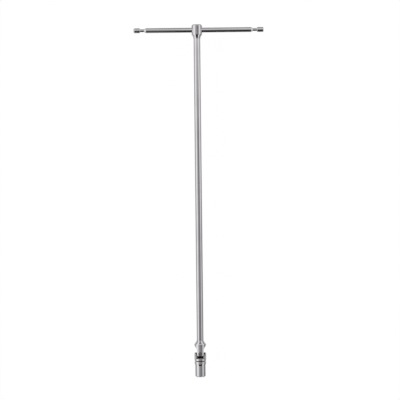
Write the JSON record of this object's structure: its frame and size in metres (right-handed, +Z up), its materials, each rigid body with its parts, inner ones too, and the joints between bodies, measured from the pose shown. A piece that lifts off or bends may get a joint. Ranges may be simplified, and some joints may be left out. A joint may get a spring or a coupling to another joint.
{
  "type": "t-handle universal joint socket wrench",
  "caption": "Long round shaft with a sliding T-bar through its head and a hexagon socket on a universal joint at its foot.",
  "frame": {"origin": "centre of the socket's mouth, on the shaft's axis; the wrench lies flat on its side", "axes": "+Y runs up the shaft from the socket to the T-head, +X runs along the sliding bar, +Z points up off the bench"},
  "size_m": [0.1734, 0.47, 0.0156],
  "materials": {
    "chrome_shaft": "mirror chrome on a ground bar",
    "chrome_forging": "mirror chrome on a polished forging",
    "pin_steel": "bare steel, ends peened",
    "dark_steel": "oiled dark steel",
    "bearing_steel": "polished ball",
    "spring_steel": "drawn wire"
  },
  "bodies": {
    "shaft": {"shaft_rod": "chrome_shaft", "t_head": "chrome_forging", "top_plug": "chrome_forging", "detent_spring": "spring_steel", "shaft_yoke": "chrome_forging", "yoke_pin": "pin_steel"},
    "bar": {"sliding_bar": "chrome_shaft"},
    "ball": {"detent_ball": "bearing_steel"},
    "cross": {"joint_block": "dark_steel", "main_pin": "pin_steel"},
    "socket": {"socket_yoke": "chrome_forging", "cross_pin": "pin_steel"}
  },
  "joints": [
    {"name": "bar_slide", "type": "slide", "parent": "shaft", "child": "bar", "axis": [1, 0, 0], "range_m": [-0.0775, 0.0731]},
    {"name": "ball_press", "type": "slide", "parent": "shaft", "child": "ball", "axis": [0, -1, 0], "range_m": [0, 0.0005], "stiffness_N_per_m": 2000, "springref_m": -0.001, "deforming": ["detent_spring"]},
    {"name": "yoke_pivot", "type": "hinge", "parent": "shaft", "child": "cross", "pos_m": [0, 0.0305, 0], "axis": [0, 0, 1], "range_deg": [-24, 24]},
    {"name": "socket_pivot", "type": "hinge", "parent": "cross", "child": "socket", "pos_m": [0, 0.0305, 0], "axis": [1, 0, 0], "range_deg": [-24, 24]}
  ]
}
